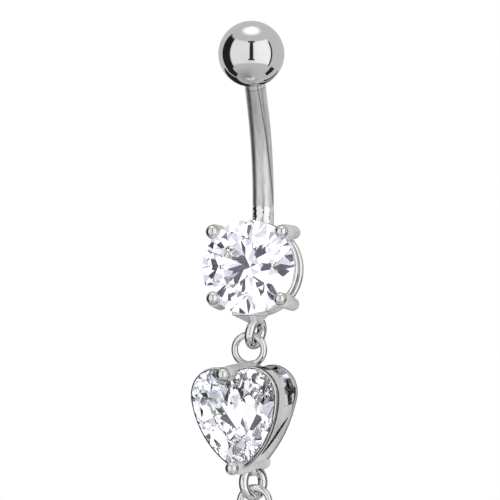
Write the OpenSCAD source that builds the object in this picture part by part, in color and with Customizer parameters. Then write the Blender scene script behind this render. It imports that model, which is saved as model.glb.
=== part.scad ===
// Navel ring with a screw ball, a curved bar, a claw-set round stone and a hanging heart drop.
// Units are millimetres. The origin is on the bar's axis, where the navel holds it.
// +Z is up, and the stones face -Y.

/* [Ball] */
// Diameter of the screw ball
ball_d = 5; // [4.6:0.1:5.6]
// Diameter of the plain post that stands for the thread
post_d = 1.2; // [1.1:0.05:1.3]
// Length of post inside the ball
post_length = 3; // [2.6:0.1:3.2]
// Depth of the ball's mouth, which takes the end of the bar's shaft
mouth_depth = 0.35; // [0.3:0.05:0.5]
// Play around the post and the shaft where the ball slides off
screw_play = 0.03; // [0.02:0.01:0.05]

/* [Bar] */
// Thickness of the bar
bar_d = 1.6; // [1.5:0.05:1.65]
// Radius that the bar is bent to
bar_bend_r = 16; // [15:0.5:18]
// Lean of the straight top end
bar_top_lean = 27; // [24:1:29]
// Straight length between the bend and the ball's centre
bar_straight = 5; // [4.6:0.1:5.4]
// Angle along the bend, below its rearmost point, where the bar meets the round setting
bar_low_angle = 18; // [17:0.5:19]
// Angle along the bend, above its rearmost point, where the navel holds the bar
seat_angle = 14; // [12:1:16]

/* [Round stone] */
// Diameter of the round stone
stone_d = 7.2; // [6.9:0.1:7.4]
// Width of the round stone's table as a part of its diameter
table_part = 0.57; // [0.54:0.01:0.6]
// Slope of the crown's main facets
crown_angle = 34.5; // [33:0.5:36]
// Slope of the pavilion's main facets
pavilion_angle = 39.5; // [38.5:0.5:40]
// Thickness of both stones' girdles
girdle_h = 0.16; // [0.12:0.02:0.2]
// Gap between a stone and the metal that holds it
stone_gap = 0.03; // [0.02:0.01:0.05]

/* [Round setting] */
// Upward tilt of the round stone's face
stone_pitch = 8.5; // [7:0.5:10]
// Turn of the claws and of the stone to the left, seen from the front
claw_turn = 1.5; // [0:0.5:3]
// Distance from the bar's axis to the round stone's girdle
stone_reach = 4.25; // [4.2:0.05:4.4]
// Wire thickness of the two gallery rails
rail_wire = 0.55; // [0.5:0.05:0.6]
// Depth of the front rail behind the girdle
front_rail_z = 1.41; // [1.3:0.05:1.5]
// Depth of the back rail behind the girdle
back_rail_z = 2.93; // [2.85:0.05:3]
// Distance of each claw from the stone's axis
claw_radius = 3.74; // [3.7:0.02:3.8]
// Diameter of the small ball on each claw's tip
claw_bead_d = 1.0; // [0.94:0.02:1.04]
// Height of the claw balls in front of the girdle
claw_bead_z = 0.72; // [0.68:0.02:0.76]
// Diameter of a claw at its front shoulder
claw_front_d = 1.2; // [1.14:0.02:1.24]
// Diameter of a claw at its back end
claw_back_d = 1.36; // [1.3:0.02:1.4]
// Depth of the claws' back ends behind the girdle
claw_back_z = 3.12; // [3.05:0.05:3.2]
// Diameter of the hub that the bar is soldered into
hub_d = 2.7; // [2.6:0.1:2.9]
// Gap between the bar and the hub's bore
bar_gap = 0.02; // [0.01:0.01:0.03]

/* [Hanging loops] */
// Wire thickness of the loops under the round stone and under the heart
loop_wire = 0.72; // [0.68:0.02:0.74]
// Outside diameter of the loop under the round stone
setting_loop_d = 2.56; // [2.52:0.02:2.64]
// Drop of that loop's centre below the round stone's axis
setting_loop_drop = 4.77; // [4.72:0.01:4.8]
// Depth of that loop's centre behind the girdle
setting_loop_z = 3.14; // [3.1:0.02:3.2]
// Turn of the loop under the round stone away from the stone's front
loop_turn = 15; // [13:0.5:17]
// Lean of that loop's bottom to the left
loop_lean = 12.5; // [11:0.5:14]
// Turn of the heart away from the round stone's front
heart_turn = 16.5; // [15:0.5:18]
// Wire thickness of the heart's top ring and of the end ring
ring_wire = 0.5; // [0.46:0.02:0.52]
// Outside diameter of the heart's top ring and of the end ring
ring_d = 2.76; // [2.7:0.02:2.8]
// Gap where one link hangs in another
link_gap = 0.06; // [0.05:0.01:0.08]

/* [Heart drop] */
// Radius of the heart stone's two lobes
lobe_r = 2.05; // [2:0.01:2.1]
// Distance of each lobe's centre from the middle
lobe_x = 1.5; // [1.46:0.01:1.54]
// Radius of the heart stone's bowed sides
side_r = 6.75; // [6.5:0.05:7]
// Angle at which a side leaves its lobe
side_angle = 5; // [4:0.5:6]
// Radius of the heart stone's rounded point
tip_r = 1.1; // [1:0.05:1.2]
// Height of the heart stone's table above its girdle
heart_crown_h = 1; // [0.9:0.05:1]
// Depth of the heart stone's point behind its girdle
heart_pavilion_h = 2.62; // [2.4:0.02:2.7]
// Drop from the top ring's centre to the top of the lobes
heart_drop = 1.21; // [1.17:0.01:1.25]
// Distance of the heart stone's girdle in front of the top ring
heart_forward = 2.95; // [2.85:0.01:3.05]
// Lean of the heart's top to the left
heart_lean = 4; // [2:0.5:5]
// Forward tilt of the heart's top
heart_tilt = 1.5; // [0:0.5:3]
// Shift of the top ring's centre to the left of the wire it hangs on
ring_shift = 0.26; // [0.22:0.01:0.3]

/* [Heart setting] */
// Depth of the heart basket behind the girdle
basket_depth = 3.9; // [3.8:0.05:4]
// Reach of the basket's front lip outside the stone
lip_out = 0.14; // [0.12:0.01:0.18]
// Reach of the basket's wall outside the stone
wall_out = 0.1; // [0.08:0.01:0.12]
// Reach of the basket's wall in under the stone
wall_in = 0.34; // [0.3:0.01:0.36]
// How far the basket's outside draws in towards its back
wall_taper = 0.24; // [0.2:0.02:0.26]
// Thickness of the basket's closed back
back_h = 0.34; // [0.3:0.02:0.4]
// Near edge of the side windows behind the girdle
window_front = 1.6; // [1.55:0.05:1.65]
// Far edge of the side windows behind the girdle
window_back = 2.88; // [2.8:0.02:2.94]
// Diameter of the two claw posts
heart_post_d = 1.2; // [1.16:0.02:1.24]
// Diameter of the small balls on the heart's claws
heart_bead_d = 1.0; // [0.94:0.02:1.02]
// Height of the heart's claw balls in front of the girdle
heart_bead_z = 1; // [0.96:0.02:1.04]
// Outside diameter of the loop under the heart
end_loop_d = 2.82; // [2.78:0.02:2.86]
// Turn of the loop under the heart away from square to the heart
end_loop_turn = 14; // [10:1:16]
// Depth of that loop's centre behind the girdle
end_loop_z = 2.05; // [2:0.05:2.15]

/* [Hidden] */
$fn = 96;

steel = [0.72, 0.73, 0.74];
plated = [0.86, 0.87, 0.88];
clear_stone = [0.88, 0.92, 0.98, 0.6];

// Bar: the bend lies in the YZ plane and bows to the back.
ball_r = ball_d / 2;
shoulder_h = ball_r - mouth_depth;
mouth_d = bar_d + 2 * screw_play;
function bend_y(a) = bar_bend_r * (cos(a) - cos(seat_angle));
function bend_z(a) = bar_bend_r * (sin(a) - sin(seat_angle));

// Round stone: the facet planes of a round brilliant fix every corner below.
stone_r = stone_d / 2;
girdle_half = girdle_h / 2;
table_r = stone_r * table_part;
star_r = (stone_r + table_r) / 2;
lower_r = stone_r * 0.24;
crown_h = (stone_r - table_r) * tan(crown_angle);
star_z = (stone_r - star_r * cos(22.5)) * tan(crown_angle);
lower_z = (stone_r - lower_r * cos(22.5)) * tan(pavilion_angle);
pavilion_h = stone_r * tan(pavilion_angle);

// Round setting.
rail_r = stone_r - rail_wire / 2;
hub_front = girdle_half + pavilion_h + 0.1;
hub_back = stone_reach + bar_d / 2 + 0.3;
loop_mean_r = (setting_loop_d - loop_wire) / 2;

// Heart outline: lobes, bowed sides and a rounded point, each tangent to the next.
lobe_y = -lobe_r;
side_cx = lobe_x - (side_r - lobe_r) * cos(side_angle);
side_cy = lobe_y + (side_r - lobe_r) * sin(side_angle);
tip_cy = side_cy - sqrt(pow(side_r - tip_r, 2) - side_cx * side_cx);
heart_tip_y = tip_cy - tip_r;
cleft_y = lobe_y + sqrt(lobe_r * lobe_r - lobe_x * lobe_x);
cleft_post_y = cleft_y + 0.4;
point_post_y = heart_tip_y;
heart_mid_y = heart_tip_y * 0.48;

// Depths at which the basket's wall steps in, just before and just behind its windows.
step_z = [-window_front + 0.15, -window_back - 0.12];
// Radius of its sides in front of, between and behind those steps.
flank_r = [side_r, side_r * 1.33, side_r * 2.4];

// Hanging: where the loop's centre and the rings' centres come to, from the sizes above.
ring_mean_r = (ring_d - ring_wire) / 2;
loop_at = [
    0,
    bend_y(-bar_low_angle) - (stone_reach - setting_loop_z) * cos(stone_pitch)
        - setting_loop_drop * sin(stone_pitch),
    bend_z(-bar_low_angle) + (stone_reach - setting_loop_z) * sin(stone_pitch)
        - setting_loop_drop * cos(stone_pitch)
];
wire_at = loop_at - loop_mean_r * [
    sin(loop_lean), cos(loop_lean) * sin(stone_pitch), cos(loop_lean) * cos(stone_pitch)
];
hang_r = ring_mean_r - ring_wire / 2 - loop_wire / 2 - link_gap;
ring_at = wire_at - [ring_shift, 0, sqrt(hang_r * hang_r - ring_shift * ring_shift)];
end_loop_mean_r = (end_loop_d - loop_wire) / 2;
end_loop_y = point_post_y - heart_post_d / 2 + loop_wire * 0.35 - end_loop_mean_r;
end_ring_y = end_loop_y - end_loop_mean_r - hang_r;

function arc_points(cx, cy, r, from, to, n) =
    [for (i = [0:n - 1]) let (a = from + (to - from) * i / n) [cx + r * cos(a), cy + r * sin(a)]];
// Angle at which a side of radius r leaves the lobe to reach the same rounded point.
function leave_angle(r) =
    let (reach = norm([lobe_x, lobe_y - tip_cy]),
         part = (pow(r - tip_r, 2) - pow(r - lobe_r, 2) - reach * reach) / 2 / (r - lobe_r))
    180 - atan2(lobe_y - tip_cy, lobe_x) - acos(part / reach);
// Right half of the heart, from the cleft down to just short of the point.
function half_heart(off, n1, n2, n3, r) =
    let (a = leave_angle(r), cx = lobe_x - (r - lobe_r) * cos(a),
         cy = lobe_y + (r - lobe_r) * sin(a), b = atan2(tip_cy - cy, -cx))
    concat(
        arc_points(lobe_x, lobe_y, lobe_r + off, acos(-min(1, lobe_x / (lobe_r + off))), -a, n1),
        arc_points(cx, cy, r + off, -a, b, n2),
        arc_points(0, tip_cy, tip_r + off, b, -90, n3));
function heart_points(off, n1, n2, n3, r = side_r) =
    let (h = half_heart(off, n1, n2, n3, r), n = len(h))
    concat(h, [[0, tip_cy - tip_r - off]], [for (i = [n - 1:-1:1]) [-h[i][0], h[i][1]]]);

module ring_of(mean_r, wire) {
    rotate_extrude() translate([mean_r, 0]) circle(d = wire);
}

// Frame on the bar at the given angle of its bend, with +Z up along the bar.
module at_bend(a) {
    translate([0, bend_y(a), bend_z(a)]) rotate([a, 0, 0]) children();
}

// Frame at the round stone's girdle: +Y up the stone's face, +Z out of it.
module at_round() {
    translate([0, bend_y(-bar_low_angle), bend_z(-bar_low_angle)])
        rotate([90 - stone_pitch, 0, 0]) translate([0, 0, stone_reach]) children();
}

// Frame at the heart stone's girdle, level with the top of its lobes: +Z out of its face.
module at_heart() {
    translate(ring_at) rotate([heart_tilt, -heart_lean, -heart_turn])
        translate([0, -heart_forward, -heart_drop]) rotate([90, 0, 0]) children();
}

module ball() {
    color(steel) at_bend(bar_top_lean) translate([0, 0, bar_straight]) difference() {
        sphere(r = ball_r);
        translate([0, 0, -ball_d])
            cylinder(d = mouth_d, h = ball_d - shoulder_h + 1.3 * screw_play);
        translate([0, 0, -ball_r])
            cylinder(d = post_d + 2 * screw_play, h = mouth_depth + post_length + 3 * screw_play);
    }
}

module bar() {
    color(steel) union() {
        // bent shaft, from inside the hub to the straight top
        translate([0, bend_y(0) - bar_bend_r, bend_z(0)]) rotate([90, 0, 90])
            rotate([0, 0, -bar_low_angle])
            rotate_extrude(angle = bar_top_lean + bar_low_angle)
            translate([bar_bend_r, 0]) circle(d = bar_d);
        // straight top, a hair thinner than the bent shaft that it starts in
        at_bend(bar_top_lean) {
            translate([0, 0, -bar_d / 8])
                cylinder(d = bar_d * 0.99, h = bar_straight - shoulder_h + bar_d / 8);
            cylinder(d = post_d, h = bar_straight - shoulder_h + post_length);
        }
    }
}

// Space that the round stone fills, with the gap around it.
module round_seat() {
    g = stone_gap;
    rotate_extrude() polygon([
        [0, -girdle_half - pavilion_h - g / cos(pavilion_angle)],
        [stone_r + g, -girdle_half - g],
        [stone_r + g, girdle_half + g],
        [table_r + g, girdle_half + crown_h + g],
        [0, girdle_half + crown_h + g]
    ]);
}

module round_claw() {
    spoke_run = claw_radius - hub_d / 4;
    spoke_fall = (hub_front + hub_back) / 2 - 0.35 - claw_back_z;
    difference() {
        translate([claw_radius, 0, 0]) {
            translate([0, 0, claw_bead_z]) sphere(d = claw_bead_d);
            translate([0, 0, 0.22]) sphere(d = claw_front_d + 0.02);
            translate([0, 0, -claw_back_z])
                cylinder(d1 = claw_back_d - 0.03, d2 = claw_front_d - 0.03, h = claw_back_z + 0.22);
            translate([0, 0, -claw_back_z]) sphere(d = claw_back_d);
        }
        round_seat();
    }
    // spoke from the claw's back end to the hub
    translate([claw_radius, 0, -claw_back_z]) rotate([0, -90 - atan2(spoke_fall, spoke_run), 0])
        cylinder(d = 0.9, h = norm([spoke_run, spoke_fall]));
}

// Lug that tapers down and back from the front rail's foot to the loop.
module loop_lug() {
    top_y = -stone_r + 0.3;
    foot_y = -stone_r + 0.1;
    low_y = -setting_loop_drop + loop_mean_r - loop_wire / 2 + 0.06;
    front_z = -front_rail_z - 0.1;
    back_z = -setting_loop_z - 0.34;
    intersection() {
        translate([0, 0, back_z - 1]) linear_extrude(4) polygon([
            [-1.4, top_y], [-1.4, foot_y], [-0.75, low_y], [0.75, low_y], [1.4, foot_y],
            [1.4, top_y]
        ]);
        rotate([0, -90, 0]) translate([0, 0, -2]) linear_extrude(4) polygon([
            [front_z, top_y], [front_z, foot_y], [-setting_loop_z + 0.3, low_y],
            [back_z, low_y], [back_z + 0.3, foot_y], [back_z + 0.3, top_y]
        ]);
        rotate([90, 0, 0]) linear_extrude(6) polygon([
            [-1.4, front_z], [-0.75, back_z], [0.75, back_z], [1.4, front_z]
        ]);
    }
}

module round_setting() {
    color(plated) at_round() difference() {
        union() {
            translate([0, 0, -front_rail_z]) ring_of(rail_r, rail_wire);
            translate([0, 0, -back_rail_z]) ring_of(rail_r, rail_wire);
            for (a = [45:90:315]) rotate([0, 0, a + claw_turn]) round_claw();
            translate([0, 0, -hub_back]) cylinder(d = hub_d, h = hub_back - hub_front);
            loop_lug();
            translate([0, -setting_loop_drop, -setting_loop_z])
                rotate([0, 90 - loop_turn, -loop_lean]) ring_of(loop_mean_r, loop_wire);
        }
        // blind bore that the bar's lower end is soldered into
        translate([0, 0, -stone_reach]) rotate([-90 + stone_pitch - bar_low_angle, 0, 0])
            translate([0, 0, -5 * bar_gap]) cylinder(d = bar_d + 2 * bar_gap, h = hub_d * 1.5);
    }
}

module round_stone() {
    top = girdle_half;
    pts = concat(
        [for (i = [0:15]) [stone_r * cos(22.5 * i), stone_r * sin(22.5 * i), top]],
        [for (i = [0:15]) [stone_r * cos(22.5 * i), stone_r * sin(22.5 * i), -top]],
        [for (i = [0:7]) [table_r * cos(45 * i), table_r * sin(45 * i), top + crown_h]],
        [for (i = [0:7]) let (a = 45 * i + 22.5) [star_r * cos(a), star_r * sin(a), top + star_z]],
        [for (i = [0:7]) let (a = 45 * i + 22.5) [lower_r * cos(a), lower_r * sin(a), -top - lower_z]],
        [[0, 0, -top - pavilion_h]]);
    function g(i) = (i + 16) % 16;
    function e(i) = (i + 8) % 8;
    faces = concat(
        [[for (i = [7:-1:0]) 32 + i]],
        [for (i = [0:7]) [32 + i, 32 + e(i + 1), 40 + i]],
        [for (i = [0:7]) [g(2 * i), 40 + e(i - 1), 32 + i, 40 + i]],
        [for (i = [0:7]) [g(2 * i), 40 + i, g(2 * i + 1)]],
        [for (i = [0:7]) [g(2 * i + 2), g(2 * i + 1), 40 + i]],
        [for (i = [0:15]) [i, g(i + 1), 16 + g(i + 1), 16 + i]],
        [for (i = [0:7]) [16 + g(2 * i), 48 + i, 56, 48 + e(i - 1)]],
        [for (i = [0:7]) [16 + g(2 * i), 16 + g(2 * i + 1), 48 + i]],
        [for (i = [0:7]) [16 + g(2 * i + 1), 16 + g(2 * i + 2), 48 + i]]);
    color(clear_stone) at_round() rotate([0, 0, claw_turn]) polyhedron(pts, faces);
}

module heart_plate(off, low, high, r = side_r) {
    translate([0, 0, low]) linear_extrude(high - low) polygon(heart_points(off, 12, 6, 4, r));
}

module heart_post(y) {
    translate([0, y, -basket_depth - 0.1]) cylinder(d = heart_post_d, h = basket_depth + 0.1);
    translate([0, y, 0]) sphere(d = heart_post_d + 0.02);
    translate([0, y, heart_bead_z]) sphere(d = heart_bead_d);
}

// Side windows of the basket, cut right through both walls.
module heart_windows() {
    front = -window_front;
    back = -window_back;
    reach = 2 * (lobe_x + lobe_r);
    rotate([0, -90, 0]) translate([0, 0, -reach]) linear_extrude(2 * reach) polygon([
        [front - 0.5, heart_tip_y * 0.52], [front - 0.35, heart_tip_y * 0.6],
        [front - 0.3, heart_tip_y * 0.72], [front - 0.5, heart_tip_y * 0.9],
        [back + 0.6, heart_tip_y * 0.9], [back + 0.4, heart_tip_y * 0.72],
        [back + 0.35, heart_tip_y * 0.6], [back + 0.5, heart_tip_y * 0.52]
    ]);
    inner = lobe_x * 0.63;
    for (x = [inner, -inner - reach]) translate([x, heart_tip_y * 0.42, back])
        cube([reach, reach, front - back]);
}

// Space that the heart stone fills, in steps that follow its slopes.
module heart_seat() {
    heart_plate(-wall_in - wall_taper, back_h - basket_depth, step_z[1] + 0.1, flank_r[2]);
    heart_plate(-wall_in - wall_taper / 2, step_z[1], step_z[0] + 0.1, flank_r[1]);
    heart_plate(-wall_in, step_z[0], -0.41);
    heart_plate(-0.06, -0.42, -0.16);
    heart_plate(stone_gap, -0.17, girdle_half + 0.08);
    for (i = [0:3]) {
        low = girdle_half + heart_crown_h * (0.07 + 0.14 * i);
        heart_plate(-0.05 - 0.145 * i, low, low + heart_crown_h * 0.15);
    }
}

module heart_setting() {
    color(plated) {
        at_heart() {
            difference() {
                union() {
                    difference() {
                        union() {
                            heart_plate(lip_out, -0.48, -0.16);
                            heart_plate(0.03, -0.6, -0.4);
                            heart_plate(wall_out, step_z[0], -0.56);
                            heart_plate(wall_out - wall_taper / 2, step_z[1], step_z[0] + 0.05,
                                flank_r[1]);
                            heart_plate(wall_out - wall_taper, -basket_depth, step_z[1] + 0.05,
                                flank_r[2]);
                        }
                        heart_windows();
                    }
                    heart_post(cleft_post_y);
                    heart_post(point_post_y);
                }
                heart_seat();
            }
            translate([0, end_loop_y, -end_loop_z]) rotate([0, 90 - end_loop_turn, 0])
                ring_of(end_loop_mean_r, loop_wire);
        }
        // top ring and the solder that holds it on the cleft's post
        translate(ring_at) rotate([90, 0, 0]) ring_of(ring_mean_r, ring_wire);
        at_heart() translate([0, cleft_post_y + heart_post_d / 2 - 0.12, -heart_forward])
            sphere(d = 0.8);
    }
}

// Corners of the heart stone level with z, drawn in towards its middle by the given part.
function stone_loop(pts, part, z) =
    [for (p = pts) [p[0] * part, heart_mid_y + (p[1] - heart_mid_y) * part, z]];
// Facets between an outer loop of corners at a and an inner one at b, as seen from the front.
function band(a, b, n) = [for (i = [0:n - 1]) each
    [[a + i, a + (i + 1) % n, b + i], [a + (i + 1) % n, b + (i + 1) % n, b + i]]];
function turned(faces) = [for (f = faces) [for (i = [len(f) - 1:-1:0]) f[i]]];

module heart_stone() {
    edge = heart_points(0, 4, 3, 1);
    n = len(edge);
    mid = [for (i = [0:n - 1]) (edge[i] + edge[(i + 1) % n]) / 2];
    top = girdle_half;
    pts = concat(
        stone_loop(edge, 0.56, top + heart_crown_h),
        stone_loop(mid, 0.8, top + 0.56 * heart_crown_h),
        stone_loop(edge, 1, top), stone_loop(edge, 1, -top),
        stone_loop(mid, 0.52, -top - 0.5 * heart_pavilion_h),
        [[0, heart_mid_y, -top - heart_pavilion_h]]);
    faces = concat(
        [[for (i = [0:n - 1]) i]],
        turned(band(0, n, n)),
        band(2 * n, n, n),
        [for (i = [0:n - 1]) [2 * n + i, 3 * n + i, 3 * n + (i + 1) % n, 2 * n + (i + 1) % n]],
        turned(band(3 * n, 4 * n, n)),
        [for (i = [0:n - 1]) [5 * n, 4 * n + (i + 1) % n, 4 * n + i]]);
    color(clear_stone) at_heart() polyhedron(pts, faces);
}

module end_ring() {
    color(plated) at_heart() translate([0, end_ring_y, -end_loop_z]) rotate([0, heart_turn, 0])
        ring_of(ring_mean_r, ring_wire);
}

ball();
bar();
round_setting();
round_stone();
heart_setting();
heart_stone();
end_ring();
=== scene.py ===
import math

import bmesh
import bpy
from mathutils import Matrix, Vector


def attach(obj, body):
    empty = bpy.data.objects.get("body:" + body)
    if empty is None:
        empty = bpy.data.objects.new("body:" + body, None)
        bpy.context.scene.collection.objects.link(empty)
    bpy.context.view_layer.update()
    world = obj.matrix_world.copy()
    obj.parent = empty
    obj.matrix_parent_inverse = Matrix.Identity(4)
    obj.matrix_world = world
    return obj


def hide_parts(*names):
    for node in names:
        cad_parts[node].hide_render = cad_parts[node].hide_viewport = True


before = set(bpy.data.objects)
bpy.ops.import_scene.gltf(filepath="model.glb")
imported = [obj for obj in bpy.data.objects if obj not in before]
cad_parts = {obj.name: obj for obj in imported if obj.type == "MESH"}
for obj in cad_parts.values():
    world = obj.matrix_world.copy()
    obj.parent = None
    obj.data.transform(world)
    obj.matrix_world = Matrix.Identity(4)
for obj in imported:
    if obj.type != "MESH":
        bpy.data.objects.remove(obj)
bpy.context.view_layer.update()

MM = 0.001
FULL = 2 * math.pi
scene = bpy.context.scene


def turn(axis, degrees):
    return Matrix.Rotation(math.radians(degrees), 4, axis)


def shift(x, y, z):
    return Matrix.Translation((x, y, z))


def stretch(x, y, z):
    return Matrix.Diagonal((x, y, z, 1))


# ---------------------------------------------------------------- sizes of the source, in mm
# bar: radius of its bend, angles of the navel and of its lower end on the bend, lean of its
# top, centre of the bend, place of the lower end, and the bore in the hub
BEND_R, SEAT_ANGLE, LOW_ANGLE, TOP_LEAN = 16.0, math.radians(14), 18, math.radians(27)
BEND_Y, BEND_Z = -BEND_R * math.cos(SEAT_ANGLE), -BEND_R * math.sin(SEAT_ANGLE)
LOW_END = (0, -0.3078, -8.815)
BAR_BORE = 1.64

# round stone: its radius, half the girdle of both stones, the gap round it, and its pitch and
# distance from the bar
STONE_R, HALF_GIRDLE, STONE_GAP = 3.6, 0.08, 0.03
STONE_PITCH, STONE_REACH = 8.5, 4.25
AT_ROUND = shift(*LOW_END) @ turn("X", 90 - STONE_PITCH) @ shift(0, 0, STONE_REACH)

# round setting: its rails and claws, with heights and depths from the girdle, and the claws'
# lean and the height where they turn
RAIL_WIRE, RAIL_DEPTHS = 0.55, (1.41, 2.93)
CLAW_OUT, CLAW_BEAD, CLAW_BEAD_Z = 3.74, 1.0, 0.72
CLAW_LEAN, CLAW_TURN_Z = 5, 0.3

# loops and rings: wires, outside diameters, turns from square, and places from the stones
LOOP_WIRE, RING_WIRE = 0.72, 0.5
ROUND_LOOP, END_LOOP, RING = 2.56, 2.82, 2.76
ROUND_LOOP_TURN, ROUND_LOOP_LEAN, END_LOOP_TURN = 15, 12.5, 14
ROUND_LOOP_Y, ROUND_LOOP_Z, END_LOOP_Z = -4.77, -3.14, -2.05

# heart: radii of its lobes, bowed sides and point, and the centres of lobes and point
LOBE_R, SIDE_R, TIP_R = 2.05, 6.75, 1.1
LOBE_X, LOBE_Y, TIP_CENTRE_Y = 1.5, -2.05, -6.309
TIP_Y = TIP_CENTRE_Y - TIP_R
CLEFT_Y = LOBE_Y + math.sqrt(LOBE_R ** 2 - LOBE_X ** 2)
BASKET_DEPTH = 3.9
HEART_FORWARD, HEART_DROP = 2.95, 1.21
HEART_YAW, HEART_ROLL, HEART_TILT = -16.5, -4, 1.5
AT_RING = shift(-0.4591, -2.2434, -14.6364)
AT_HEART = (AT_RING @ turn("Z", HEART_YAW) @ turn("Y", HEART_ROLL) @ turn("X", HEART_TILT)
            @ shift(0, -HEART_FORWARD, -HEART_DROP) @ turn("X", 90))

# corners closer than this are one, and so are those of two halves at the middle
WELD, MIDDLE_WELD = 1e-5, 1e-4


# ---------------------------------------------------------------- shader helpers
class Wire:
    """One value inside a shader. Arithmetic on it adds Math nodes."""

    def __init__(self, look, socket):
        self.look, self.socket = look, socket

    def __add__(self, other):
        return self.look.math("ADD", self, other)

    def __radd__(self, other):
        return self.look.math("ADD", other, self)

    def __sub__(self, other):
        return self.look.math("SUBTRACT", self, other)

    def __rsub__(self, other):
        return self.look.math("SUBTRACT", other, self)

    def __mul__(self, other):
        return self.look.math("MULTIPLY", self, other)

    def __rmul__(self, other):
        return self.look.math("MULTIPLY", other, self)

    def __pow__(self, other):
        return self.look.math("POWER", self, other)

    def __abs__(self):
        return self.look.math("ABSOLUTE", self)

    def min(self, other):
        return self.look.math("MINIMUM", self, other)

    def max(self, other):
        return self.look.math("MAXIMUM", self, other)

    def ramp(self, low, high):
        """0 up to low, 1 from high, and a smooth rise between them."""
        return self.look.node("ShaderNodeMapRange", {"interpolation_type": "SMOOTHSTEP"},
                              {"Value": self, "From Min": low, "From Max": high})

    def step(self, low, high, soft):
        """1 between low and high, fading out over soft on either side."""
        rise = self.ramp(low - soft, low + soft)
        return rise * (1 - self.ramp(high - soft, high + soft))


class Look:
    """A material, or the surrounding light, and the nodes in it."""

    def __init__(self, owner):
        owner.use_nodes = True
        self.tree = owner.node_tree
        self.tree.nodes.clear()

    def node(self, kind, settings=None, sockets=None, out=0):
        """Node of that kind: its settings come first, then what its sockets hold.

        Gives the Wire of its output, or nothing where a node has no outputs.
        """
        made = self.tree.nodes.new(kind)
        for name, value in (settings or {}).items():
            setattr(made, name, value)
        for name, value in (sockets or {}).items():
            if isinstance(value, Wire):
                self.tree.links.new(value.socket, made.inputs[name])
            else:
                made.inputs[name].default_value = value
        return Wire(self, made.outputs[out]) if len(made.outputs) else None

    def math(self, operation, *values):
        return self.node("ShaderNodeMath", {"operation": operation}, dict(enumerate(values)))

    def place(self):
        return self.node("ShaderNodeTexCoord", out="Object")

    def noise(self, vector, scale, detail=2.0, roughness=0.5):
        return self.node("ShaderNodeTexNoise", None, {
            "Vector": vector, "Scale": scale, "Detail": detail, "Roughness": roughness})

    def split(self, vector):
        xyz = self.node("ShaderNodeSeparateXYZ", None, {"Vector": vector})
        return [Wire(self, output) for output in xyz.socket.node.outputs]

    def join(self, x, y, z):
        return self.node("ShaderNodeCombineXYZ", None, {"X": x, "Y": y, "Z": z})

    def mix(self, part, a, b):
        """Colour a where part is 0 and colour b where it is 1."""
        return self.node("ShaderNodeMix", {"data_type": "RGBA"}, {0: part, 6: a, 7: b}, 2)

    def dot(self, vector, direction):
        return self.node("ShaderNodeVectorMath", {"operation": "DOT_PRODUCT"},
                         {0: vector, 1: direction}, "Value")

    def bump(self, height, strength, depth):
        """Relief of that height; depth is in millimetres."""
        return self.node("ShaderNodeBump", None, {
            "Height": height, "Strength": strength, "Distance": depth * MM})

    def close(self, shader, output="ShaderNodeOutputMaterial"):
        self.node(output, None, {"Surface": shader})


def grey(value):
    return (value, value, value, 1)


def new_material(name, shader, recipe):
    """Material with one shader, whose sockets the recipe works out."""
    made = bpy.data.materials.new(name)
    look = Look(made)
    look.close(look.node(shader, None, recipe(look)))
    return made


# ---------------------------------------------------------------- finishes
def polished_steel(look):
    """Turned and polished ball: hairline rings of wear and a faint haze."""
    place = look.place()
    x, y, z = look.split(place)
    haze = look.noise(place, 900.0, 3.0)
    scratch = look.noise(look.join(x * 400.0, y * 400.0, z * 9000.0), 1.0)
    return {"Base Color": look.mix(haze, (0.86, 0.865, 0.87, 1), (0.78, 0.785, 0.79, 1)),
            "Metallic": 1.0, "Roughness": 0.035 + 0.05 * haze,
            "Normal": look.bump(scratch, 0.02, 0.02)}


def brushed_steel(look):
    """Drawn bar: fine streaks that follow the bend, bright where the setting's work begins."""
    x, y, z = look.split(look.place())
    dy, dz = y - BEND_Y * MM, z - BEND_Z * MM
    out = (dy * dy + dz * dz) ** 0.5 - BEND_R * MM
    along = look.math("ARCTAN2", dz, dy)
    streak = look.noise(look.join(x * 9000.0, out * 9000.0, along * 14.0), 1.0, 3.0, 0.65)
    broad = look.noise(look.join(x * 1900.0, out * 1900.0, along * 5.0), 1.0)
    flow = look.noise(look.join(x * 2600.0, out * 2600.0, along * 26.0), 1.0)
    # 1 below the ragged edge where solder has run up the bar
    worked = 1 - (z + 0.4 * MM * (flow - 0.5)).ramp(-4.05 * MM, -3.85 * MM)
    # a die line drifting right down the front, a bright turned collar on top, a thin dark band at
    # its foot
    line_x = 0.73 * MM - 0.049 * (z + 2.2 * MM)
    beside_line = abs(x - line_x).ramp(0.02 * MM, 0.06 * MM)
    die_line = (1 - beside_line) * (1 - out.ramp(-0.2 * MM, 0.0))
    up_shaft = z * math.cos(TOP_LEAN) - y * math.sin(TOP_LEAN)
    collar = up_shaft.ramp(5.84 * MM, 5.88 * MM)
    dark_band = up_shaft.step(5.78 * MM, 5.86 * MM, 0.02 * MM)
    tone = (streak * 0.75 + broad * 0.5).ramp(0.35, 0.9)
    colour = look.mix(tone, grey(0.62), grey(0.98))
    colour = look.mix(collar, colour, grey(0.93))
    colour = look.mix((die_line * 0.75).max(dark_band * 0.6), colour, grey(0.12))
    colour = look.mix(worked, colour, grey(0.95))
    relief = streak * (1 - worked) + flow * worked * 6.0
    return {"Base Color": colour, "Metallic": 1.0,
            "Roughness": (0.26 + 0.16 * broad) * (1 - worked) + 0.04 * worked,
            "Normal": look.bump(relief, 0.5, 0.02)}


def plated_metal(look):
    """Bright plating over cast metal, with a slight ripple and a trace of tarnish."""
    place = look.place()
    ripple = look.noise(place, 1400.0)
    grain = look.noise(place, 9000.0)
    return {"Base Color": look.mix(ripple.ramp(0.3, 0.7), (0.84, 0.845, 0.85, 1), grey(0.93)),
            "Metallic": 1.0, "Specular Tint": grey(0.05), "Roughness": 0.03 + 0.06 * grain,
            "Normal": look.bump(ripple, 0.25, 0.04)}


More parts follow.
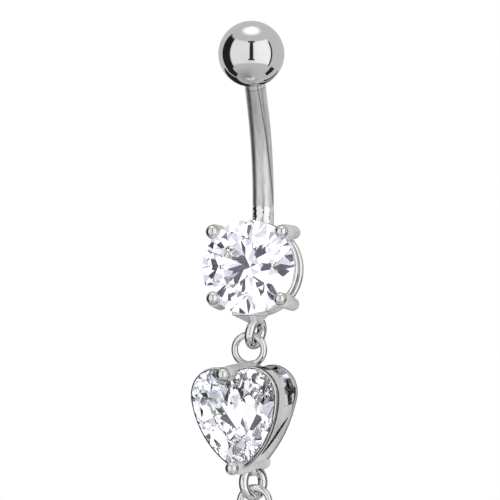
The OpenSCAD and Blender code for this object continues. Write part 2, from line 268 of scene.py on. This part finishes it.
def satin_metal(look):
    """The same plating over the plain walls and claws, tumbled to a soft satin."""
    place = look.place()
    ripple = look.noise(place, 700.0)
    grain = look.noise(place, 12000.0)
    return {"Base Color": look.mix(ripple.ramp(0.3, 0.7), (0.80, 0.80, 0.79, 1),
                                   (0.92, 0.92, 0.91, 1)),
            "Metallic": 0.6, "Roughness": 0.3 + 0.12 * ripple,
            "Normal": look.bump(grain, 0.2, 0.02)}


def unpolished_shaded_inside(look):
    """Unpolished casting inside the heart's basket: matt, grainy and darkened as painted shade.
    """
    grain = look.noise(look.place(), 5200.0, 3.0, 0.7)
    return {"Base Color": look.mix(grain.ramp(0.42, 0.7), grey(0.035), grey(0.34)),
            "Metallic": 1.0, "Roughness": 0.35 + 0.3 * grain,
            "Normal": look.bump(grain, 0.5, 0.03)}


def clear_stone(look):
    """Colourless cut stone: strongly bending glass with painted flecks of violet and blue fire.
    """
    cells = look.node("ShaderNodeTexVoronoi", None,
                      {"Vector": look.place(), "Scale": 700.0}, "Color")
    x, y, z = look.split(cells)
    # cells tinted violet or blue are painted fire, not a colour the stone has
    violet = look.mix(x.ramp(0.7, 0.95), grey(1), (0.93, 0.91, 1.0, 1))
    return {"Base Color": look.mix(y.ramp(0.85, 1.0), violet, (0.86, 0.97, 1.0, 1)),
            "Metallic": 0.0, "Roughness": 0.0, "IOR": 2.3, "Specular Tint": grey(0.4),
            "Transmission Weight": 1.0}


steel, drawn, plated, clear, satin, inside = [
    new_material(recipe.__name__, "ShaderNodeBsdfPrincipled", recipe)
    for recipe in (polished_steel, brushed_steel, plated_metal, clear_stone, satin_metal,
                   unpolished_shaded_inside)]
for node, finish in (("ball", steel), ("bar", drawn), ("round_setting", plated),
                     ("round_stone", clear), ("heart_setting", plated),
                     ("heart_stone", clear), ("end_ring", plated)):
    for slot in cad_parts[node].material_slots:
        slot.material = finish

# finishes of the plated pieces, by number: bright, satin, and the inside darkened as painted
# shade
FINISHES = [plated, satin, inside]
BRIGHT, SATIN, SHADED_INSIDE = range(3)


# ---------------------------------------------------------------- benches for new pieces
def turned_part(profile, steps=48):
    """Part turned about Z from (radius, height) corners."""
    part = bmesh.new()
    rows = [part.verts.new((r, 0, z)) for r, z in profile]
    lines = [part.edges.new(pair) for pair in zip(rows, rows[1:])]
    bmesh.ops.spin(part, geom=rows + lines, cent=(0, 0, 0), axis=(0, 0, 1), angle=FULL,
                   steps=steps, use_merge=True)
    bmesh.ops.remove_doubles(part, verts=part.verts, dist=WELD)
    return part


def wire_ring(outside, wire, steps=96, sides=24):
    """Ring of round wire in the XY plane, by its outside diameter."""
    part = bmesh.new()
    bmesh.ops.create_circle(part, cap_ends=False, radius=wire / 2, segments=sides,
                            matrix=shift((outside - wire) / 2, 0, 0) @ turn("X", 90))
    bmesh.ops.spin(part, geom=part.verts[:] + part.edges[:], cent=(0, 0, 0), axis=(0, 0, 1),
                   angle=FULL, steps=steps, use_merge=True)
    bmesh.ops.remove_doubles(part, verts=part.verts, dist=WELD)
    return part


def bead(diameter):
    part = bmesh.new()
    bmesh.ops.create_uvsphere(part, u_segments=40, v_segments=24, radius=diameter / 2)
    return part


def rod(width, length):
    """Round rod that stands on the XY plane."""
    part = bmesh.new()
    bmesh.ops.create_cone(part, cap_ends=True, segments=40, radius1=width / 2,
                          radius2=width / 2, depth=length, matrix=shift(0, 0, length / 2))
    return part


def block(x, y, z, place):
    """Block with sides of those lengths."""
    part = bmesh.new()
    bmesh.ops.create_cube(part, size=1, matrix=place @ stretch(x, y, z))
    return part


def slice_off(part, at, away):
    """Take off what lies beyond a plane, and close the cut with one face."""
    cut = bmesh.ops.bisect_plane(part, geom=part.verts[:] + part.edges[:] + part.faces[:],
                                 plane_co=at, plane_no=away, clear_outer=True, dist=WELD)
    rim = [g for g in cut["geom_cut"] if isinstance(g, bmesh.types.BMEdge)]
    if len(rim) > 2:
        bmesh.ops.edgeloop_fill(part, edges=rim)


def with_cut(part, cutter):
    """The part with the cutter taken out of it."""
    pair = []
    for name, shape in (("whole", part), ("cutter", cutter)):
        bmesh.ops.recalc_face_normals(shape, faces=shape.faces)
        mesh = bpy.data.meshes.new(name)
        shape.to_mesh(mesh)
        shape.free()
        pair.append(bpy.data.objects.new(name, mesh))
        scene.collection.objects.link(pair[-1])
    whole, tool = pair
    cut = whole.modifiers.new("cut", "BOOLEAN")
    cut.operation, cut.solver, cut.object = "DIFFERENCE", "EXACT", tool
    done = bmesh.new()
    bpy.context.view_layer.update()
    done.from_object(whole, bpy.context.evaluated_depsgraph_get())
    for thing in pair:
        mesh = thing.data
        bpy.data.objects.remove(thing)
        bpy.data.meshes.remove(mesh)
    return done


class Metalwork:
    """One soldered piece, or one stone, put together from parts in millimetres."""

    def __init__(self):
        self.shape = bmesh.new()

    def add(self, part, *places, look=None):
        """Put the part through its places, last one first; look is the number of its finish."""
        for place in reversed(places):
            part.transform(place)
        part.normal_update()
        bmesh.ops.recalc_face_normals(part, faces=part.faces)
        if look is not None:
            for face in part.faces:
                face.material_index = look
        carried = bpy.data.meshes.new("carried")
        part.to_mesh(carried)
        part.free()
        self.shape.from_mesh(carried)
        bpy.data.meshes.remove(carried)

    def finish(self, name, materials, body, slot, node, smooth=38):
        """Hand the piece over in place of a node; edges up to smooth degrees are soft."""
        self.shape.transform(Matrix.Scale(MM, 4))
        mesh = bpy.data.meshes.new(name)
        self.shape.to_mesh(mesh)
        self.shape.free()
        for paint in materials:
            mesh.materials.append(paint)
        mesh.polygons.foreach_set("use_smooth", [smooth > 0] * len(mesh.polygons))
        if smooth > 0:
            mesh.set_sharp_from_angle(angle=math.radians(smooth))
        piece = bpy.data.objects.new(name, mesh)
        scene.collection.objects.link(piece)
        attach(piece, body)
        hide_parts(node)


# ---------------------------------------------------------------- heart basket
BACK_SIDE_R = 11.0
# depths of the basket's lip and floor, and the part of the floor that is polished
LIP_Z, FLOOR_Z = -0.6, -3.5
POLISHED_X, POLISHED_Y = 2.7, -5.4


def heart_side(side_r):
    """Centre of a heart's side of that radius, and the angles where it starts and ends."""
    reach = math.hypot(LOBE_X, LOBE_Y - TIP_CENTRE_Y)
    to_lobe, to_tip = side_r - LOBE_R, side_r - TIP_R
    part = (to_tip ** 2 - to_lobe ** 2 - reach ** 2) / 2 / to_lobe
    leave = math.pi - math.atan2(LOBE_Y - TIP_CENTRE_Y, LOBE_X) - math.acos(part / reach)
    x = LOBE_X - to_lobe * math.cos(leave)
    y = LOBE_Y + to_lobe * math.sin(leave)
    return x, y, leave, -math.atan2(TIP_CENTRE_Y - y, -x)


def heart_row(part, out, z):
    """Closed heart-shaped row of edges, out beyond the stone; its sides straighten with depth."""
    known = set(part.edges)
    deep = min(1, max(0, (LIP_Z - z) / (LIP_Z + BASKET_DEPTH))) ** 0.8
    x, y, leave, arrive = heart_side(1 / ((1 - deep) / SIDE_R + deep / BACK_SIDE_R))
    start = math.acos(-min(1, LOBE_X / (LOBE_R + out)))
    lobe = (LOBE_R + out) * Vector((math.cos(start), math.sin(start), 0))
    point = [part.verts.new(Vector((LOBE_X, LOBE_Y, z)) + lobe)]
    for centre, angle, steps in (((LOBE_X, LOBE_Y), start + leave, 26),
                                 ((x, y), arrive - leave, 14),
                                 ((0, TIP_CENTRE_Y), math.pi / 2 - arrive, 8)):
        bent = bmesh.ops.spin(part, geom=point, cent=(*centre, z), axis=(0, 0, -1),
                              angle=angle, steps=steps)
        point = [g for g in bent["geom_last"] if isinstance(g, bmesh.types.BMVert)]
    lines = [e for e in part.edges if e not in known]
    half = [v for v in part.verts if any(e not in known for e in v.link_edges)]
    bmesh.ops.mirror(part, geom=half + lines, axis="X", merge_dist=MIDDLE_WELD)
    return [e for e in part.edges if e not in known]


def basket():
    """Closed cup that holds the heart, before its windows are cut."""
    # rows of the cup, from its floor up the inside, over the lip and down the outside, as
    # (reach beyond the stone's outline, height from the girdle)
    inner = [(-0.42, FLOOR_Z), (-0.38, -3.42), (-0.32, -2.9), (-0.27, -2.0), (-0.28, -1.2),
             (-0.32, -0.62), (-0.3, -0.42), (-0.06, -0.2)]
    lip = [(0.04, -0.13), (0.045, -0.06), (0.1, 0.0), (0.14, -0.01), (0.17, -0.05),
           (0.175, -0.2), (0.16, -0.26), (0.08, -0.3)]
    groove = [(-0.02, -0.34), (-0.02, -0.46), (0.09, -0.52), (0.115, -0.57)]
    wall = [(0.115 - 0.235 * d, -0.62 - 3.14 * d) for d in (0, 0.15, 0.3, 0.45, 0.6, 0.7, 0.8)]
    back_rim = [(-0.085, -3.22), (-0.06, -3.3), (-0.045, -3.42), (-0.04, -3.55), (-0.06, -3.7),
                (-0.11, -3.82), (-0.2, -BASKET_DEPTH)]
    part = bmesh.new()
    rows = [heart_row(part, out, z) for out, z in inner + lip + groove + wall + back_rim]
    for near, far in zip(rows, rows[1:]):
        bmesh.ops.bridge_loops(part, edges=near + far)
    for row in (rows[0], rows[-1]):
        bmesh.ops.edgeloop_fill(part, edges=row)
    # the part of the floor that is polished becomes a face of its own
    for at, away in (((POLISHED_X, 0, 0), (1, 0, 0)), ((-POLISHED_X, 0, 0), (1, 0, 0)),
                     ((0, POLISHED_Y, 0), (0, 1, 0))):
        floor = [f for f in part.faces
                 if all(abs(v.co.z - FLOOR_Z) < 1e-4 for v in f.verts)]
        edges = list({e for f in floor for e in f.edges})
        corners = list({v for f in floor for v in f.verts})
        bmesh.ops.bisect_plane(part, geom=corners + edges + floor, plane_co=at, plane_no=away,
                               dist=WELD)
    return part


def window_cutter():
    """Cuts that open the basket's sides: one round each lobe and a slanting one below."""
    part = bmesh.new()
    for side in (-1, 1):
        bmesh.ops.create_cube(part, size=1, matrix=shift(side * 3.5, -0.57, -2.4)
                              @ stretch(6.0, 5.0, 1.6))
    # edge of the slanting window on both sides of the basket, as (height, front, back)
    lens = [(-4.0, -2.95, -3.08), (-4.4, -2.3, -2.85), (-5.0, -1.6, -2.4), (-5.6, -1.2, -2.0),
            (-6.2, -0.95, -1.65), (-6.6, -0.9, -1.35)]
    rim = [(y, front) for y, front, back in lens] + [(y, back) for y, front, back in lens[::-1]]
    face = part.faces.new([part.verts.new((-6, y, z)) for y, z in rim])
    grown = bmesh.ops.extrude_face_region(part, geom=[face])
    far = [g for g in grown["geom"] if isinstance(g, bmesh.types.BMVert)]
    bmesh.ops.translate(part, verts=far, vec=(12, 0, 0))
    return part


def cup_finish(face):
    """Number of the finish of a face of the cup, by its place and the way it looks."""
    x, y, z = face.calc_center_median()
    inward = face.normal.dot(Vector((x, y + 3.2, 0)).normalized()) < -0.15
    level = abs(face.normal.z) > 0.7 and z > -3.6
    floor = face.normal.z > 0.7 and -3.6 < z < -3.45
    polished = abs(x) < POLISHED_X and y > POLISHED_Y
    groove = -0.55 < z < -0.3
    if inward and -1.5 < z < -0.3:
        return BRIGHT
    # the dark inside finish is painted shade: inner walls off the bright band, unpolished floor,
    # groove, level faces by the point
    if (inward and z < 0 and not level) or (floor and not polished) or groove:
        return SHADED_INSIDE
    if level and y < -3.9:
        return SHADED_INSIDE
    crown_of_lobes = face.normal.y > 0.85 and y > -2
    back_rim = -3.85 < z < -3.21
    return BRIGHT if z > -0.3 or level or crown_of_lobes or back_rim else SATIN


def heart_setting():
    """Pierced cup with its claws, top ring and bottom loop, soldered as one."""
    work = Metalwork()
    cup = with_cut(basket(), window_cutter())
    for face in cup.faces:
        face.material_index = cup_finish(face)
    work.add(cup, AT_HEART)
    # claw posts, each with a neck below its bead, as (radius, height)
    post_r = 0.6
    post = [(0, -3.96), (0.5, -3.96), (0.58, -3.9), (post_r, -3.8), (post_r, -0.2),
            (0.585, 0.1), (0.53, 0.3), (0.42, 0.48), (0.36, 0.62), (0, 0.62)]
    for y, high in ((CLEFT_Y + 0.4, 1.33), (TIP_Y, 1.0)):
        work.add(turned_part(post), AT_HEART, shift(0, y, high - 1), look=SATIN)
        work.add(bead(1.02), AT_HEART, shift(0, y, high), look=BRIGHT)
    loop_y = TIP_Y - post_r + LOOP_WIRE * 0.35 - (END_LOOP - LOOP_WIRE) / 2
    work.add(wire_ring(END_LOOP, LOOP_WIRE), AT_HEART, shift(0, loop_y, END_LOOP_Z),
             turn("Y", 90 - END_LOOP_TURN), look=BRIGHT)
    # collars where the loop and the ring are soldered on, as (radius, height)
    collar = [(0, 0.42), (0.3, 0.4), (0.4, 0.3), (0.44, 0.0), (0.5, -0.3), (0.62, -0.5),
              (0, -0.5)]
    work.add(turned_part(collar), AT_HEART, shift(0, TIP_Y - 0.5, END_LOOP_Z), turn("X", 90),
             look=BRIGHT)
    work.add(wire_ring(RING, RING_WIRE), AT_RING, turn("X", 90), look=BRIGHT)
    work.add(turned_part(collar), AT_HEART, shift(0, CLEFT_Y + 0.6, -HEART_FORWARD),
             turn("X", -90), stretch(0.8, 0.8, 0.8), look=BRIGHT)
    work.finish("heart_basket", FINISHES, "heart_drop", "plated_metal", "heart_setting")


# ---------------------------------------------------------------- heart stone
def heart_gem():
    """Heart cut from a slab by its facet planes, one half first and then mirrored."""
    part = block(10, 14, 9, shift(5, -4, 0))
    x, y, leave, arrive = heart_side(SIDE_R)
    # arcs of the outline, as (angle where it ends, centre, radius)
    arcs = [(-leave, (LOBE_X, LOBE_Y), LOBE_R), (-arrive, (x, y), SIDE_R),
            (-math.pi, (0, TIP_CENTRE_Y), TIP_R)]

    def facet(angle, slope, lift, out=0.0):
        """Cut by a plane that meets the outline at that angle and slopes by that much."""
        a, s = math.radians(angle), math.radians(slope)
        centre, r = next(arc[1:] for arc in arcs if a > arc[0])
        away = Vector((math.cos(a), math.sin(a), 0))
        normal = away * math.sin(abs(s)) + Vector((0, 0, math.copysign(math.cos(s), s)))
        slice_off(part, Vector((*centre, lift)) + away * (r + out), normal)

    for angle in (140, 120, 100, 82, 64, 46, 28, 10, -6, -16, -26, -36, -46, -56, -68, -80):
        facet(angle, 90, 0)
    for angle in (130, 92, 55, 19, -11, -31, -51, -74):
        facet(angle, 34, HALF_GIRDLE, -0.02)
        facet(angle, -43, -HALF_GIRDLE, -0.02)
    for angle in (145, 118, 105, 80, 67, 43, 31, 8, -2, -17, -25, -37, -45, -60, -67, -84):
        facet(angle, 39, HALF_GIRDLE)
        facet(angle, -45, -HALF_GIRDLE)
    for angle in (111, 74, 37, 3, -21, -41, -62):
        facet(angle, 22, HALF_GIRDLE + 0.62, -1.05)
    slice_off(part, (0, 0, 1.06), (0, 0, 1))
    joint = [f for f in part.faces
             if abs(f.normal.x) > 0.99 and f.calc_center_median().x < 1e-4]
    bmesh.ops.delete(part, geom=joint, context="FACES_ONLY")
    bmesh.ops.mirror(part, geom=part.verts[:] + part.edges[:] + part.faces[:], axis="X",
                     merge_dist=MIDDLE_WELD)
    work = Metalwork()
    work.add(part, AT_HEART)
    work.finish("heart_gem", [clear], "heart_drop", "clear_stone", "heart_stone", smooth=0)


# ---------------------------------------------------------------- round setting
def stone_seat():
    """Space round the round stone, which the claws are cut to, as (radius, height)."""
    wide = STONE_R + STONE_GAP
    return turned_part([(0, -3.09), (wide, -0.11), (wide, 0.11), (2.08, 1.16), (0, 1.16)], 64)


def lug():
    """Block that tapers down from the front rail to the loop, cut to shape by its planes."""
    part = block(2.8, 0.86, 2.5, shift(0, -3.72, -2.3))
    slice_off(part, (0, -3.62, -1.1), (0, -0.957, 0.29))
    slice_off(part, (0, -3.5, -3.2), (0, -0.42, -0.9))
    for side in (1, -1):
        slice_off(part, (side * 1.3, -3.45, -1.6), (side * 0.8, -0.52, -0.3))
    bmesh.ops.recalc_face_normals(part, faces=part.faces)
    bmesh.ops.bevel(part, geom=part.edges[:], offset=0.06, segments=3, profile=0.5,
                    affect="EDGES", material=-1)
    return part


def round_setting():
    """Two rails, four claws with spokes, hub, lug and loop, soldered as one."""
    work = Metalwork()
    for depth in RAIL_DEPTHS:
        work.add(wire_ring(2 * STONE_R, RAIL_WIRE, 128, 20), AT_ROUND, shift(0, 0, -depth),
                 look=BRIGHT)
    # claw as (radius, height), leaning in by a few degrees
    claw = [(0, -3.15), (0.25, -3.1), (0.42, -2.97), (0.5, -2.8), (0.53, -2.4), (0.57, -1.2),
            (0.6, -0.1), (0.575, 0.12), (0.5, 0.28), (0.4, 0.38), (0.38, 0.5), (0, 0.5)]
    lean = shift(CLAW_OUT, 0, CLAW_TURN_Z) @ turn("Y", -CLAW_LEAN) @ shift(0, 0, -CLAW_TURN_Z)
    # the lower claws were pushed in a little further over the stone
    for angle, pushed in ((45.5, 0), (136.5, 0), (224.7, 0.24), (318.3, 0.12)):
        around = turn("Z", angle)
        bent = around @ shift(-pushed, 0, 0.25 * pushed)
        body = turned_part(claw)
        body.transform(bent @ lean)
        work.add(with_cut(body, stone_seat()), AT_ROUND, look=SATIN)
        work.add(bead(CLAW_BEAD), AT_ROUND, bent, shift(CLAW_OUT, 0, CLAW_BEAD_Z), look=BRIGHT)
        # spoke from the hub to the claw's back end
        work.add(rod(0.84, 2.95), AT_ROUND, around, shift(3.42, 0, -2.78), turn("Y", -111),
                 look=SATIN)
    hub = turned_part([(0, -3.15), (1.28, -3.15), (1.35, -3.22), (1.35, -5.25), (1.25, -5.35),
                       (0, -5.35)])
    bore = rod(BAR_BORE, 4.05)
    along_bar = turn("X", STONE_PITCH - 90 - LOW_ANGLE)
    bore.transform(shift(0, 0, -STONE_REACH) @ along_bar @ shift(0, 0, -0.1))
    work.add(with_cut(hub, bore), AT_ROUND, look=SATIN)
    work.add(lug(), AT_ROUND, look=SATIN)
    work.add(wire_ring(ROUND_LOOP, LOOP_WIRE), AT_ROUND, shift(0, ROUND_LOOP_Y, ROUND_LOOP_Z),
             turn("Z", -ROUND_LOOP_LEAN), turn("Y", 90 - ROUND_LOOP_TURN), look=BRIGHT)
    work.finish("round_claws", FINISHES, "barbell", "plated_metal", "round_setting")


heart_setting()
heart_gem()
round_setting()

# ---------------------------------------------------------------- camera
# width of the photograph in pixels, its scale, and the side it was taken from
PICTURE, PIXELS_PER_MM = 500, 13.2
AZIMUTH, ELEVATION = math.radians(13), math.radians(4.5)
RIGHT = Vector((math.cos(AZIMUTH), math.sin(AZIMUTH), 0))
BACK = Vector((math.sin(AZIMUTH) * math.cos(ELEVATION),
               -math.cos(AZIMUTH) * math.cos(ELEVATION), math.sin(ELEVATION)))
UP = BACK.cross(RIGHT)
CAMERA_FAR, SENSOR = 1.0, 36.0
middle = Vector((-0.92, -0.01, -7.27)) * MM

camera_data = bpy.data.cameras.new("photo_camera")
camera_data.sensor_width = SENSOR
camera_data.lens = SENSOR * CAMERA_FAR / (PICTURE / PIXELS_PER_MM * MM)
camera_data.clip_start, camera_data.clip_end = 0.01, 100.0
camera = bpy.data.objects.new("photo_camera", camera_data)
facing = Matrix((RIGHT, UP, BACK)).transposed().to_4x4()
camera.matrix_world = Matrix.Translation(middle + BACK * CAMERA_FAR) @ facing
scene.collection.objects.link(camera)
scene.camera = camera
scene.view_settings.view_transform = "Standard"
# cut stones turn their light back inside many times before it leaves them
scene.cycles.glossy_bounces = scene.cycles.transmission_bounces = 24
scene.cycles.max_bounces = 32


# ---------------------------------------------------------------- floor and black cards
def stage_piece(name, part, paint, brightness, hidden_from):
    """Evenly glowing part of the stage, made in metres, which some rays don't see."""
    mesh = bpy.data.meshes.new(name)
    part.to_mesh(mesh)
    part.free()
    piece = bpy.data.objects.new(name, mesh)
    scene.collection.objects.link(piece)
    for rays in hidden_from:
        setattr(piece, "visible_" + rays, False)
    mesh.materials.append(new_material(paint, "ShaderNodeEmission", lambda look: {
        "Color": grey(brightness), "Strength": 1.0}))


part = bmesh.new()
bmesh.ops.create_grid(part, x_segments=1, y_segments=1, size=6.0,
                      matrix=Matrix.Translation((0, 0, -0.06)))
stage_piece("studio_floor", part, "floor_paint", 1.0, ("glossy", "transmission"))

# cards beside and behind the settings, which draw the dark edges on their wires: angles round
# the object from the camera's side, and height of the top in millimetres
CARD_REACH, CARD_FOOT = 30 * MM, -36 * MM
part = bmesh.new()
for start, end, top in ((77, 104, -12), (138, 150, -6), (156, 240, -6), (246, 282, -12)):
    a = math.radians(start) + AZIMUTH - math.pi / 2
    x, y = CARD_REACH * math.cos(a), CARD_REACH * math.sin(a)
    edge = [part.verts.new((x, y, z)) for z in (CARD_FOOT, top * MM)]
    edge.append(part.edges.new(edge))
    bmesh.ops.spin(part, geom=edge, cent=(0, 0, 0), axis=(0, 0, 1),
                   angle=math.radians(end - start), steps=12)
stage_piece("black_flags", part, "flag_cloth", 0.02,
            ("camera", "diffuse", "transmission", "shadow"))

# ---------------------------------------------------------------- tent of light
world = bpy.data.worlds.new("studio_tent")
scene.world = world
tent = Look(world)
ray = tent.node("ShaderNodeTexCoord", out="Generated")
front, right, up = tent.dot(ray, BACK), tent.dot(ray, RIGHT), tent.dot(ray, UP)
DEGREES = 180 / math.pi
azimuth = tent.math("ARCTAN2", right, front) * DEGREES
height = tent.math("ARCSINE", up) * DEGREES


def patch(start, end, soft, low, high, soft_ends):
    """1 in a patch of the tent, by its azimuths and heights in degrees."""
    return azimuth.step(start, end, soft) * height.step(low, high, soft_ends)


# white side panels, a grey dome with a soft box at its top, and a grey table
panels = patch(-78, 75, 4.0, -32, 43, 3.0)
light = 0.58 + panels * (0.28 + 0.16 * azimuth.ramp(-10, 35))
light = light + 0.9 * height.ramp(62, 82)
light = light * (1 - (0.5 - 0.4 * azimuth.ramp(-70, 50)) * (-1 * height).ramp(30, 85))
# dark gaps between the panels, and the stand with the camera in front
gap = patch(-122, -80, 2.0, -38, 42, 3.0)
slit = patch(72, 79, 1.5, -35, 36, 3.0)
stem = patch(-6.5, 7, 1.0, -22, 43, 1.0)
crossbar = patch(-15, 15, 2.0, 39, 44.5, 1.0)
foot = patch(-12, 12, 2.0, -23.5, -18, 1.0)
light = light * (1 - 0.97 * gap.max(slit).max(stem).max(crossbar).max(foot))
# what the stones bend towards the camera: brighter white, greyish violet, and the gaps
folds = tent.math("SINE", (azimuth - 6) * (math.pi / 12))
rungs = tent.math("SINE", height * 0.35)
dark = (gap * folds.ramp(0.3, 0.5)).max(slit).max(stem * rungs.ramp(-0.6, -0.4))
dark = dark.max(crossbar).max(folds.ramp(0.93, 0.97) * height.step(-45, 55, 2))
lilac = (1 - folds).ramp(1.5, 1.8) * height.step(-60, 30, 4) + (1 - height.ramp(-75, -60))
in_stones = tent.mix(lilac.min(1) * 0.9, (1.3, 1.3, 1.33, 1), (0.68, 0.68, 0.82, 1))
in_stones = tent.mix(dark * 0.97, in_stones, (0.045, 0.04, 0.075, 1))
through_stone = tent.node("ShaderNodeLightPath", out="Is Transmission Ray")
backdrop = tent.node("ShaderNodeLightPath", out="Is Camera Ray")
shown = tent.mix(through_stone, tent.join(light, light, light), in_stones)
shown = tent.mix(backdrop, shown, grey(1))
tent.close(tent.node("ShaderNodeBackground", None, {"Color": shown, "Strength": 1.0}),
           "ShaderNodeOutputWorld")
